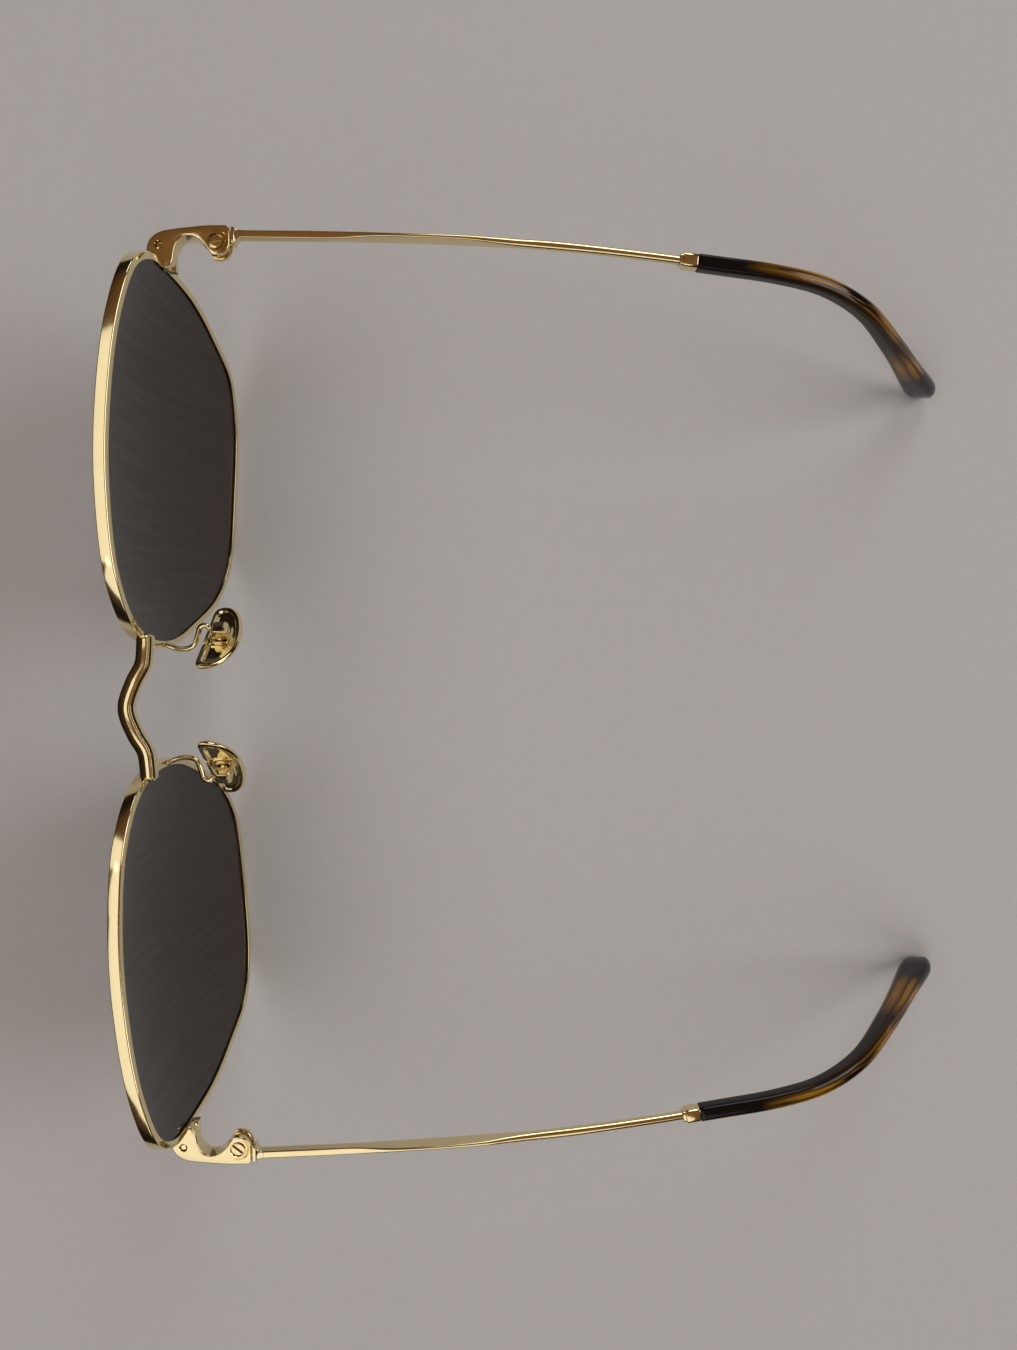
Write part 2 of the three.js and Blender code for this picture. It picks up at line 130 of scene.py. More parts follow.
BARREL = 2.0  # radius of the hinge's leaves
TONGUE = 1.65  # radius of the temple's knuckle
LEAF = 0.7
SLOT_FRONT = -2.0
SHOULDER_HEIGHT = 35.05
BUTT = 2.15  # where the temple's shoulder stops against the plate
UNDER_BLOCK = 34.6
BLOCK_BACK = -6.3
PLATE_EDGE = 0.16  # radius of the plates' rounded edges
BLOCK_EDGE = 0.14
KNUCKLE_EDGE = 0.06
GROOVE_RADIUS = 1.56
FIT_GAP = 0.1
SCREW_CLEARANCE = 0.08
PIVOT_SHANK = 0.6
PIVOT_BORE = 0.68
PIVOT_SEAT = 0.38
CLOSER_SHANK = 0.5
CLOSER_BORE = CLOSER_SHANK + SCREW_CLEARANCE
CLOSER_SEAT = 0.3
SLOT_TURN = {"left": 50, "right": 80}  # degrees

PAD_CENTRE = np.array([10.0, -1.7, 31.2])
PAD_SPLAY = radians(-42)
PAD_PIVOT = 1.5
PAD_ROLL = 0.55  # half the width of the rolled border
PAD_ROLL_HEIGHT = 0.26
PIN_RADIUS = 0.3
PIN_HEAD = 0.34
PAD_PIN_BORE = 0.38
BOX_PIN_BORE = 0.36
PAD_ARM_POINTS = [
    (9.4, -10.6, 31.3), (8.7, -9.2, 31.5), (8.4, -7.4, 31.6), (8.9, -5.9, 31.8),
    (10.4, -5.2, 32.0), (11.8, -4.7, 32.1), (12.0, -3.8, 32.2), (11.3, -3.1, 32.2),
]

TEMPLE_POINTS = [
    (70.0, 3.7, 35.05), (70.2, 20.0, 34.6), (70.1, 36.0, 34.1), (69.6, 50.0, 33.7),
    (68.4, 65.0, 33.2), (67.2, 76.0, 32.9), (66.1, 86.0, 32.4), (64.8, 94.0, 31.0),
    (62.5, 102.0, 27.1), (59.4, 110.0, 19.6), (56.8, 118.0, 10.2), (55.0, 125.8, 0.3),
]
COLLAR_START = 66.5
COLLAR_LENGTH = 2.8
TIP_START = 69.4
TIP_ROUNDED_END = 6.0
TIP_TRIM = 0.1  # keeps the tips' ends inside the frame's box
CORE_SHORT_OF_END = 14.0
CORE_ROOM = 0.8  # how far the tip's bore goes past the wire's end
WIRE_BORE = 1.6


# ---- Sizes and colours that a user would change ----


def length(name, description, millimetres):
    """A length that a user may change, given in millimetres."""
    return FloatProperty(name=name, description=description, default=millimetres * MM, unit="LENGTH",
                         subtype="DISTANCE", precision=5)


def colour(name, description, value):
    """A colour that a user may change."""
    return FloatVectorProperty(name=name, description=description, default=value, subtype="COLOR",
                               min=0, max=1)


class SunglassesSizes(bpy.types.PropertyGroup):
    rim_depth: length("Rim Depth", "Front to back depth of the lens rims", 1.9)
    rim_outer: length("Rim Outside", "How far the rims reach beyond the lens edge", 0.745)
    lens_thickness: length("Lens Thickness", "Thickness of the tinted lenses", 1.1)
    bridge_depth: length("Bridge Depth", "Front to back depth of the bridge bar", 2.3)
    bridge_height: length("Bridge Height", "Height of the bridge bar", 2.3)
    wire: length("Temple Wire", "Diameter of the round rear stretch of the temples", 1.4)
    paddle: length("Temple Paddle", "Height of the flattened stretch of the temples", 2.6)
    tip_width: length("Tip Width", "Width of the ear tips at their ends", 3.1)
    tip_height: length("Tip Height", "Height of the ear tips at their ends", 5.9)
    collar: length("Collar", "Width and height of the collars in front of the tips", 2.4)
    pad_thickness: length("Pad Thickness", "Thickness of the nose pads", 1.0)
    pad_wire: length("Pad Wire", "Diameter of the nose pads' arms", 0.84)


class SunglassesColours(bpy.types.PropertyGroup):
    gold: colour("Gold", "Polished pale gold plating", (0.88, 0.77, 0.46))
    # The second gold is painted shade: a darker, warmer gold that the gold material mixes in, in random
    # patches.
    gold_painted_shade: colour("Gold Painted Shade", "Darker warmer gold mixed in patches as painted shade", (0.85, 0.69, 0.34))
    lens_top: colour("Lens Top", "Tint at the top of the lenses", (0.008, 0.008, 0.006))
    lens_bottom: colour("Lens Bottom", "Tint at the bottom of the lenses", (0.060, 0.044, 0.038))
    tortoise: colour("Tortoise", "Dark ground of the ear tips", (0.006, 0.005, 0.006))
    amber: colour("Amber", "Light streaks of the ear tips", (0.80, 0.42, 0.035))
    floor: colour("Floor", "Plain pale floor", (0.76, 0.77, 0.78))


def chosen(name):
    """The size that a user has chosen, in millimetres."""
    return getattr(bpy.context.scene.sunglasses_sizes, name) / MM


# ---- Curves and outlines ----


def unit(vectors):
    """Each vector over its own length."""
    return vectors / np.linalg.norm(vectors, axis=-1, keepdims=True)


def curve_through(points, closed=False, per_span=24):
    """A smooth curve through the points. Each span is a cubic whose end slopes come from the three
    nearest points, weighted by the square roots of the distances between them."""
    p = np.asarray(points, float)
    if closed:
        p = np.concatenate([p[-1:], p, p[:2]])
    else:
        p = np.concatenate([2 * p[:1] - p[1:2], p, 2 * p[-1:] - p[-2:-1]])
    a, b, c, d = p[:-3], p[1:-2], p[2:-1], p[3:]
    t0, t1, t2 = (np.sqrt(np.linalg.norm(r - q, axis=1))[:, None] for q, r in ((a, b), (b, c), (c, d)))
    slope_b = t1 * ((b - a) / t0 - (c - a) / (t0 + t1) + (c - b) / t1)
    slope_c = t1 * ((c - b) / t1 - (d - b) / (t1 + t2) + (d - c) / t2)
    t = np.linspace(0, 1, per_span, endpoint=False)[:, None, None]
    square = 3 * (c - b) - 2 * slope_b - slope_c
    cube = 2 * (b - c) + slope_b + slope_c
    spans = b + t * (slope_b + t * (square + t * cube))
    curve = spans.transpose(1, 0, 2).reshape(-1, p.shape[1])
    return np.concatenate([curve, curve[:1] if closed else p[-2:-1]])


class Path:
    """A smooth line through points, read by the distance along it."""

    def __init__(self, points, closed=False):
        self.line = curve_through(points, closed)
        steps = np.linalg.norm(np.diff(self.line, axis=0), axis=1)
        self.along = np.concatenate([[0], np.cumsum(steps)])
        self.length = self.along[-1]
        slope = np.gradient(self.line, self.along, axis=0)
        if closed:
            slope[[0, -1]] = slope[0] + slope[-1]
        self.slope = unit(slope)

    def read(self, values, distance):
        return np.stack([np.interp(distance, self.along, column) for column in values.T], axis=-1)

    def at(self, distance):
        return self.read(self.line, distance)

    def direction(self, distance):
        return unit(self.read(self.slope, distance))


def read_table(table, distance):
    """Smooth values of a table's columns at each distance; the first column is the distance."""
    rows = curve_through(table)
    return [np.interp(distance, rows[:, 0], rows[:, i]) for i in range(1, rows.shape[1])]


def rounded_polygon(corners, radii, per_corner=6):
    """A closed outline whose corners are arcs: an arc of radius r touches both sides of its corner,
    and its centre lies on the corner's bisector at r over the sine of half the angle."""
    p = np.asarray(corners, float)
    r = np.broadcast_to(np.asarray(radii, float), len(p))[:, None]
    back = unit(np.roll(p, 1, axis=0) - p)
    ahead = unit(np.roll(p, -1, axis=0) - p)
    half = np.arccos(np.clip((back * ahead).sum(1), -1, 1))[:, None] / 2
    centre = p + unit(back + ahead) * r / np.sin(half)
    start = (p + back * r / np.tan(half) - centre) / r
    end = (p + ahead * r / np.tan(half) - centre) / r
    angle = (pi - 2 * half)[:, :, None]
    s = np.linspace(0, 1, per_corner)[None, :, None]
    swept = np.sin((1 - s) * angle) * start[:, None] + np.sin(s * angle) * end[:, None]
    swept = swept / np.sin(angle)
    return (centre[:, None] + r[:, None] * swept).reshape(-1, 2)


def rounded_rectangles(width, height, radius, per_corner=6):
    """One rounded rectangle for each row of the arrays: four quarter circles of that radius round
    the corners of a smaller rectangle."""
    width, height, radius = np.broadcast_arrays(width, height, radius)
    angle = np.linspace(0, pi / 2, per_corner)[None] + np.arange(4)[:, None] * pi / 2
    corner = np.array([[1, 1], [-1, 1], [-1, -1], [1, -1]])[:, None]
    ring = np.stack([np.cos(angle), np.sin(angle)], axis=-1).reshape(-1, 2)
    corners = np.broadcast_to(corner, (4, per_corner, 2)).reshape(-1, 2)
    half = np.stack([width, height], axis=-1)[:, None] / 2
    return corners * (half - radius[:, None, None]) + ring * radius[:, None, None]


def arc(centre, radius, start, end, count):
    """Points of a circle between two angles in degrees."""
    angle = np.radians(np.linspace(start, end, count))
    return np.stack([centre[0] + radius * np.cos(angle), centre[1] + radius * np.sin(angle)], axis=-1)


def bezier(*points, count=12):
    """Points of a Bezier curve, blended pair by pair down to one, without the first point."""
    t = np.linspace(0, 1, count + 1)[1:, None]
    level = [np.broadcast_to(np.asarray(p, float), (count, 2)) for p in points]
    while len(level) > 1:
        level = [a + t * (b - a) for a, b in zip(level, level[1:])]
    return level[0]


def inset(outline, distance):
    """A closed counter-clockwise outline moved inwards along its normals."""
    step = unit(np.roll(outline, -1, axis=0) - np.roll(outline, 1, axis=0))
    return outline + distance * np.stack([-step[:, 1], step[:, 0]], axis=-1)


# ---- Skins: points and faces of closed shapes ----


def skin(grid, ring=False):
    """Four-sided faces between the neighbours in a grid of points whose columns close on
    themselves. Its two ends get one flat face each, or meet if it is a ring."""
    rows, columns = grid.shape[:2]
    index = np.arange(rows * columns).reshape(rows, columns)
    wide = np.concatenate([index, index[:, :1]], axis=1)
    if ring:
        wide = np.concatenate([wide, wide[:1]])
    quads = np.stack([wide[:-1, :-1], wide[1:, :-1], wide[1:, 1:], wide[:-1, 1:]], axis=-1)
    faces = quads.reshape(-1, 4).tolist()
    if not ring:
        faces += [index[0].tolist(), index[-1, ::-1].tolist()]
    return grid.reshape(-1, 3), faces


def round_edge(radius, steps=4):
    """Inset and rise of a quarter-round edge, from the side of a plate up to its face."""
    angle = np.linspace(0, pi / 2, steps)
    return list(zip(radius * (1 - np.cos(angle)), radius * (np.sin(angle) - 1)))


def plate(outline, bottom, top, edge):
    """A flat plate on an outline, its walls stacked rings, with quarter-round edges."""
    upper = [(step, top + rise) for step, rise in round_edge(edge)]
    lower = [(step, bottom - rise) for step, rise in reversed(round_edge(edge))]
    rings = []
    for step, height in lower + upper:
        ring = inset(outline, step)
        rings.append(np.column_stack([ring, np.full(len(ring), height)]))
    return skin(np.array(rings))


def block(low, high):
    """A box from its lowest to its highest corner."""
    x, y, z = zip(low, high)
    base = np.array([(x[0], y[0]), (x[1], y[0]), (x[1], y[1]), (x[0], y[1])])
    return skin(np.array([np.column_stack([base, np.full(4, level)]) for level in z]))


def lathe(profile, centre=(0, 0), sides=48):
    """A profile of radius and height turned about an upright axis."""
    angle = np.arange(sides) * 2 * pi / sides
    r, z = np.array(profile, float).T
    grid = np.stack([
        centre[0] + r[:, None] * np.cos(angle), centre[1] + r[:, None] * np.sin(angle),
        np.broadcast_to(z[:, None], (len(z), sides)),
    ], axis=-1)
    return skin(grid)


def moved(shell, matrix=None, shift=(0, 0, 0)):
    """A shell turned by a matrix, then shifted."""
    points, faces = shell
    if matrix is not None:
        points = points @ matrix.T
    return points + np.asarray(shift), faces


def turn(axis, angle):
    """The matrix of a turn about axis 0, 1 or 2: cosines on the other two axes, and sines of
    opposite signs between them."""
    matrix = np.eye(3)
    first, second = (axis + 1) % 3, (axis + 2) % 3
    matrix[first, first] = matrix[second, second] = cos(angle)
    matrix[first, second] = -sin(angle)
    matrix[second, first] = sin(angle)
    return matrix


def carry(path, distance, sections):
    """Sections carried along a path: x goes sideways, level and square to the path, and y goes
    upwards, square to both."""
    direction = path.direction(distance)
    side = unit(np.stack([direction[:, 1], -direction[:, 0], 0 * direction[:, 2]], axis=-1))
    rise = np.cross(side, direction)
    across = sections[..., 0, None] * side[:, None] + sections[..., 1, None] * rise[:, None]
    return path.at(distance)[:, None] + across


def round_ended(path, nub, count, steps):
    """Distances along a path and the size of the section at each: full in the middle, and a
    quarter circle's sine over the nub at either end."""
    swing = np.linspace(0.1, pi / 2, steps)[:-1]
    start = nub * (1 - np.cos(swing))
    middle = np.linspace(nub, path.length - nub, count)
    distance = np.concatenate([start, middle, path.length - start[::-1]])
    return distance, np.concatenate([np.sin(swing), np.ones(count), np.sin(swing)[::-1]])


# ---- Meshes and pieces ----


def mesh_object(name, shell, side=1):
    """A mesh in metres in the part's frame; side -1 gives the mirror image. The shape is closed, so
    its faces are then turned outwards."""
    points, faces = shell
    place = (points * [side, 1, 1] + FRONT) * MM
    mesh = bpy.data.meshes.new(name)
    mesh.from_pydata(place.tolist(), [], faces)
    turned = bmesh.new()
    turned.from_mesh(mesh)
    bmesh.ops.recalc_face_normals(turned, faces=turned.faces)
    turned.to_mesh(mesh)
    turned.free()
    piece = bpy.data.objects.new(name, mesh)
    bpy.context.scene.collection.objects.link(piece)
    return piece


def combine(piece, tools, operation="DIFFERENCE"):
    """Cuts the tools from the piece, or joins them to it, and removes them."""
    for tool in tools:
        modifier = piece.modifiers.new(tool.name, "BOOLEAN")
        modifier.operation = operation
        modifier.solver = "EXACT"
        modifier.object = tool
    bpy.context.view_layer.update()
    whole = piece.evaluated_get(bpy.context.evaluated_depsgraph_get())
    mesh = bpy.data.meshes.new_from_object(whole)
    piece.modifiers.clear()
    old = piece.data
    piece.data = mesh
    bpy.data.meshes.remove(old)
    for tool in tools:
        bpy.data.meshes.remove(tool.data)


def cut(piece, side, *shells):
    """Cuts closed shells from a piece."""
    combine(piece, [mesh_object(f"tool_{i}", shell, side) for i, shell in enumerate(shells)])


def finish_piece(piece, node, material, sharp=35):
    """Gives a piece its material and its place in the frame: it stands for a node and rides on that
    node's body. Edges sharper than the angle stay crisp."""
    mesh = piece.data
    mesh.materials.clear()
    mesh.materials.append(material)
    mesh.shade_smooth()
    mesh.set_sharp_from_angle(angle=radians(sharp))
    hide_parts(node)
    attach(piece, frame["nodes"][node]["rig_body"])


# ---- Shader maths ----


class Wire:
    """A socket that can be added, subtracted and multiplied."""

    def __init__(self, shader, socket):
        self.shader = shader
        self.socket = socket

    def maths(self, operation, first, second):
        return self.shader.node("ShaderNodeMath", {"operation": operation}, {0: first, 1: second})

    def __add__(self, other):
        return self.maths("ADD", self, other)

    __radd__ = __add__

    def __mul__(self, other):
        return self.maths("MULTIPLY", self, other)

    __rmul__ = __mul__

    def __sub__(self, other):
        return self.maths("SUBTRACT", self, other)

    def __rsub__(self, other):
        return self.maths("SUBTRACT", other, self)


class Shader:
    """A material with one Principled shader, and one method that adds any other node."""

    def __init__(self, name, **constants):
        self.material = bpy.data.materials.new(name)
        self.material.use_nodes = True
        self.tree = self.material.node_tree
        self.surface = self.tree.nodes["Principled BSDF"]
        for socket, value in constants.items():
            self.surface.inputs[socket.replace("_", " ")].default_value = value

    def node(self, kind, settings=None, inputs=None, output=0):
        node = self.tree.nodes.new(kind)
        for name, value in (settings or {}).items():
            if name == "stops":
                self.set_stops(node.color_ramp, value)
            else:
                setattr(node, name, value)
        for socket, value in (inputs or {}).items():
            self.connect(node.inputs[socket], value)
        return Wire(self, node.outputs[output])

    @staticmethod
    def set_stops(ramp, stops):
        while len(ramp.elements) < len(stops):
            ramp.elements.new(1)
        for element, (position, value) in zip(ramp.elements, stops):
            element.position = position
            element.color = (value, value, value, 1)

    def connect(self, socket, value):
        if isinstance(value, Wire):
            self.tree.links.new(value.socket, socket)
        else:
            socket.default_value = value

    def drive(self, **sockets):
        for socket, value in sockets.items():
            self.connect(self.surface.inputs[socket.replace("_", " ")], value)

    def place(self, scale=(1, 1, 1), attribute=None):
        """Object coordinates in millimetres, or a piece's own attribute, stretched by a scale."""
        if attribute:
            source = self.node("ShaderNodeAttribute", {"attribute_name": attribute}, output="Vector")
            factor = scale
        else:
            source = self.node("ShaderNodeTexCoord", output="Object")
            factor = [s / MM for s in scale]
        return self.node("ShaderNodeMapping", {}, {"Vector": source, "Scale": factor})

    def noise(self, place, scale=1.0, detail=3.0, roughness=0.5):
        inputs = {"Vector": place, "Scale": scale, "Detail": detail, "Roughness": roughness}
        return self.node("ShaderNodeTexNoise", {}, inputs)

    def ramp(self, value, *stops):
        return self.node("ShaderNodeValToRGB", {"stops": stops}, {0: value})

    def mix(self, factor, first, second):
        """Colour between two colours, or wires of colours."""
        inputs = {"Factor": factor, 6: opaque(first), 7: opaque(second)}
        return self.node("ShaderNodeMix", {"data_type": "RGBA"}, inputs, output=2)

    def bump(self, height, strength, millimetres):
        inputs = {"Height": height, "Strength": strength, "Distance": millimetres * MM}
        return self.node("ShaderNodeBump", {}, inputs)


def opaque(value):
    return value if isinstance(value, Wire) else (*value[:3], 1)


def polished_gold(name, roughness=0.12):
    """Gold plating over polished metal, with painted shade: random patches mixed towards a darker,
    warmer gold; with fine buffing haze and hairline scratches."""
    colours = bpy.context.scene.sunglasses_colours
    gold = Shader(name, Metallic=1.0)
    # Painted shade: this noise mixes the gold towards the darker, warmer shade gold in random patches.
    painted_shade_cloud = gold.ramp(gold.noise(gold.place(), 0.12, 2.0), (0.35, 0), (0.7, 1))
    haze = gold.noise(gold.place(), 1.6, 4.0, 0.65)
    hairline = gold.noise(gold.place((9, 0.6, 9)), 1.0, 2.0)
    gold.drive(
        Base_Color=gold.mix(painted_shade_cloud * 0.35, colours.gold, colours.gold_painted_shade),
        Roughness=haze * 0.1 + (roughness - 0.05),
        Normal=gold.bump(haze * 0.7 + hairline * 0.3, 0.12, 0.004),
    )
    return gold.material


def smoke_lens():
    """Dark tint that is lighter and warmer towards the bottom, with faint upright streaks and a
    little dust. The streaks are painted reflection: lighter streaks mixed into the tint, and they
    also roughen and bump the surface."""
    colours = bpy.context.scene.sunglasses_colours
    lens = Shader("smoke_lens", Metallic=0.0, IOR=1.45, Specular_IOR_Level=0.4)
    height = lens.node("ShaderNodeSeparateXYZ", {}, {0: lens.place()}, output="Z")
    low = lens.ramp(1 - height * (1 / (2 * LENS_CENTRE[2])), (0.1, 0), (0.95, 1))
    threads = lens.noise(lens.place((1.1, 0, 0.045)), 1.0, 3.0, 0.6)
    streak = lens.ramp(threads, (0.4, 0), (0.66, 1)) * (1 - low * 0.6)
    speck = lens.ramp(lens.noise(lens.place(), 2.2, 2.0), (0.76, 0), (0.8, 1))
    tint = lens.mix(low, colours.lens_top, colours.lens_bottom)
    # Painted reflection: lighter upright streaks mixed into the tint.
    streaks_of_painted_reflection = lens.mix(streak * 0.45, tint, (0.075, 0.068, 0.055))
    lens.drive(
        Base_Color=lens.mix(speck * 0.4, streaks_of_painted_reflection, (0.12, 0.12, 0.12)),
        Roughness=streak * 0.12 + speck * 0.2 + 0.02,
        Alpha=0.995 - low * 0.03,
        Normal=lens.bump(streak, 0.05, 0.01),
    )
    return lens.material


def tortoise_acetate():
    """Near-black acetate with amber streaks that run along the tip. The grain attribute is the
    distance along the tip, outwards and upwards, in millimetres."""
    colours = bpy.context.scene.sunglasses_colours
    tip = Shader("tortoise_acetate", Metallic=0.0, IOR=1.49, Specular_IOR_Level=0.3)
    axes = [
        tip.node("ShaderNodeSeparateXYZ", {}, {0: tip.place(attribute="grain")}, output=axis)
        for axis in ("X", "Y", "Z")
    ]
    warp = tip.noise(tip.place((0.06, 0.06, 0.06)), 1.0, 2.0)
    along = axes[0] + warp * 10 - 5
    ridge = tip.ramp(along * (1 / 80), (0.1, 0), (0.24, 1), (0.5, 1), (0.58, 0.1), (0.66, 0.2), (0.74, 0))
    patch = tip.ramp(along * (1 / 80), (0.53, 0), (0.62, 1), (0.65, 0.9), (0.7, 0))
    threads = tip.noise(tip.place((0.05, 1.3, 0.8), "grain"), 1.0, 3.0, 0.6)
    streaks = tip.ramp(threads, (0.38, 0), (0.56, 1))
    bands = tip.ramp(tip.noise(tip.place((0.03, 1.6, 1.1), "grain"), 1.0, 2.0), (0.42, 0), (0.56, 1))
    outward = tip.ramp(axes[1] * 0.25 + axes[2] * 0.05 + 0.5, (0.36, 0.05), (0.6, 1))
    fine = tip.noise(tip.place((0.3, 5, 5), "grain"), 1.0, 3.0)
    amount = ridge * outward * streaks + patch * (bands * 0.5 + 0.08)
    glow = tip.mix(fine, colours.amber, (0.45, 0.18, 0.012))
    polish = tip.noise(tip.place((0.4, 1.5, 1.5), "grain"), 1.0, 3.0)
    tip.drive(
        Base_Color=tip.mix(amount, colours.tortoise, glow),
        Roughness=polish * 0.12 + 0.06,
        Normal=tip.bump(polish, 0.1, 0.02),
    )
    return tip.material


def floor_paper():
    """Matt pale paper with a faint grain."""
    colours = bpy.context.scene.sunglasses_colours
    paper = Shader("floor_paper", Metallic=0.0)
    grain = paper.noise(paper.place(), 0.35, 5.0, 0.6)
    darker = [c * 0.94 for c in colours.floor]
    paper.drive(Base_Color=paper.mix(grain, darker, colours.floor), Roughness=0.75,
                Normal=paper.bump(grain, 0.1, 0.1))
    return paper.material


def shared_material(name, make):
    """The material of that name, made the first time that it is wanted."""
    return bpy.data.materials.get(name) or make()


def gold_material():
    return shared_material("polished_gold", lambda: polished_gold("polished_gold"))


def pad_material():
    return shared_material("mirror_gold", lambda: polished_gold("mirror_gold", 0.07))


def gold_piece(side, name, node, shell, sharp, *cuts):
    """Makes a closed shell into a finished piece of polished gold, less the shells cut from it."""
    sign = dict(SIDES)[side]
    piece = mesh_object(f"{side}_{name}", shell, sign)
    if cuts:
        cut(piece, sign, *cuts)
    finish_piece(piece, f"{side}_{node}", gold_material(), sharp)


# ---- Rims and lenses ----

lens_edge = Path(LENS_OUTLINE, closed=True)
LENS_TURN = turn(2, LENS_WRAP) @ turn(0, LENS_TILT)


def sag(x, z):
    """Depth of a sphere of the base curve's radius at a distance from its middle."""
    return BASE_CURVE - np.sqrt(BASE_CURVE ** 2 - x ** 2 - z ** 2)


def round_lens(section, split, steps):
    """A section carried round the lens's edge: x is outward from the edge and y is to the back,
    counted from the lens's middle surface."""
    distance = np.linspace(split / 2, lens_edge.length - split / 2, steps)
    edge, direction = lens_edge.at(distance), lens_edge.direction(distance)
    x = edge[:, None, 0] + direction[:, None, 1] * section[:, 0]
    z = edge[:, None, 1] - direction[:, None, 0] * section[:, 0]
    depth = sag(edge[:, 0], edge[:, 1])[:, None] + section[:, 1]
    return moved(skin(np.stack([x, depth, z], axis=-1)), LENS_TURN, LENS_CENTRE)


def rim_room():
    """What a soldered neighbour leaves free for the rim."""
    outer, edge = chosen("rim_outer") - SOLDER, chosen("rim_depth") / 2 - SOLDER
    inner = -2 * RIM_LIP
    return round_lens(np.array([(inner, -edge), (outer, -edge), (outer, edge), (inner, edge)]), 0.02, 160)


def rim():
    """The rim's section is a channel: two lips and a floor that hold the lens's edge."""
    outer, edge = chosen("rim_outer"), chosen("rim_depth") / 2
    inside = edge - RIM_LIP_THICKNESS
    corners = [
        (-RIM_LIP, -edge), (outer, -edge), (outer, edge), (-RIM_LIP, edge),
        (-RIM_LIP, inside), (RIM_FLOOR, inside), (RIM_FLOOR, -inside), (-RIM_LIP, -inside),
    ]
    section = rounded_polygon(corners, [0.09, 0.24, 0.24, 0.09, 0.08, 0.06, 0.06, 0.08], 5)
    return round_lens(section, RIM_SPLIT, 320)


def tinted_lens(around=256, rings=16):
    """Two spherical surfaces of the outline's shape, joined by an edge with a V bevel. Inner rings
    are the outline shrunk towards the middle."""
    half = chosen("lens_thickness") / 2
    distance = np.linspace(0, lens_edge.length, around, endpoint=False)
    edge = lens_edge.at(distance)
    bevel = inset(edge, 0.3)
    shrink = np.sin(np.linspace(0.01, pi / 2, rings))
    back = [(bevel * s, half) for s in shrink]
    front = [(bevel * s, -half) for s in shrink[::-1]]
    grid = []
    for ring, offset in back + [(edge, 0.0)] + front:
        depth = sag(ring[:, 0], ring[:, 1]) + offset
        grid.append(np.column_stack([ring[:, 0], depth, ring[:, 1]]))
    return moved(skin(np.array(grid)), LENS_TURN, LENS_CENTRE)


class SUNGLASSES_OT_rims(bpy.types.Operator):
    """Build the two grooved lens rims"""

    bl_idname = "sunglasses.rims"
    bl_label = "Lens Rims"

    def execute(self, context):
        for side, _ in SIDES:
            gold_piece(side, "rim_wire", "eyewire", rim(), 40)
        return {"FINISHED"}


class SUNGLASSES_OT_lenses(bpy.types.Operator):
    """Build the two tinted lenses"""

    bl_idname = "sunglasses.lenses"
    bl_label = "Tinted Lenses"

    def execute(self, context):
        for side, sign in SIDES:
            piece = mesh_object(f"{side}_tinted_lens", tinted_lens(), sign)
            tint = shared_material("smoke_lens", smoke_lens)
            finish_piece(piece, f"{side}_lens", tint, 25)
        return {"FINISHED"}


# ---- Bridge ----


def bridge_bar():
    """A bar bowed forward. Its section has a broad front slope, a crown with a hairline groove and
    a back slope, and its ends are drawn in to round nubs."""
    deep, high = chosen("bridge_depth") / 2, chosen("bridge_height") / 2
    path = Path([(-x, y, z) for x, y, z in BRIDGE_HALF] + [BRIDGE_MIDDLE] + BRIDGE_HALF[::-1])
    corners = [
        (-deep, 0.62 * high), (-deep, -0.6 * high), (-0.55 * deep, -high), (0.55 * deep, -high),
        (deep, -0.6 * high), (deep, 0.5 * high), (0.72 * deep, 0.86 * high), (0.6 * deep, 0.76 * high),
        (0.5 * deep, 0.94 * high), (0.3 * deep, high), (-0.05 * deep, high),
    ]
    radii = [0.12, 0.12, 0.12, 0.12, 0.12, 0.1, 0.04, 0.02, 0.04, 0.08, 0.05]
    section = rounded_polygon(corners, radii, 4)
    distance, size = round_ended(path, BRIDGE_NUB, 120, 7)
    direction = path.direction(distance)
    back = unit(np.stack([-direction[:, 1], direction[:, 0], 0 * direction[:, 2]], axis=-1))
    scaled = section[None] * size[:, None, None]
    grid = path.at(distance)[:, None] + scaled[..., 0, None] * back[:, None]
    grid[..., 2] += scaled[..., 1]
    return skin(grid)


class SUNGLASSES_OT_bridge(bpy.types.Operator):
    """Build the bridge bar between the rims"""

    bl_idname = "sunglasses.bridge"
    bl_label = "Bridge"

    def execute(self, context):
        piece = mesh_object("bridge_bar", bridge_bar())
        combine(piece, [mesh_object(f"room_{side}", rim_room(), sign) for side, sign in SIDES])
        finish_piece(piece, "bridge", gold_material(), 30)
        return {"FINISHED"}


# ---- Endpieces, closing blocks and screws ----


def block_front():
    """The front edge that an endpiece and its block share: a short straight, then a Bezier corner."""
    return np.concatenate([
        [(65.0, -10.0), (67.2, -10.1)],
        bezier((67.2, -10.1), (69.4, -9.9), (70.1, -7.6), count=14),
    ])


def endpiece_outline():
    """The plate's plan: a rounded outer corner, a straight outer side, the round hinge barrel and
    the hollow inner side that sweeps back to the block on the rim."""
    return np.concatenate([
        block_front(),
        bezier((70.1, -7.6), (70.6, -5.0), (70.95, -1.0), count=14),
        [(71.0, 1.4)],
        bezier((71.0, 1.4), (71.0, BARREL), (70.4, BARREL), count=6),
        arc((PIVOT_X, 0), BARREL, 90, 198, 26),
        bezier((66.7, -0.62), (67.7, -1.4), (69.4, -2.2), (69.4, -3.9), count=18)[1:],
        bezier((69.4, -3.9), (69.4, -5.2), (68.4, -6.0), (66.6, -6.2), count=18),
        bezier((66.6, -6.2), (64.8, -6.4), (64.7, -7.6), count=10),
    ])


def screw_room(centre, radius, head, depth, bottom, top):
    """A bore with a wider seat for a screw's head and a small chamfer at the top."""
    seat = top - depth
    return lathe([
        (radius, bottom - 1), (radius, seat), (head, seat), (head, top - 0.07), (head + 0.12, top + 0.05),
        (head + 0.12, top + 1),
    ], centre)


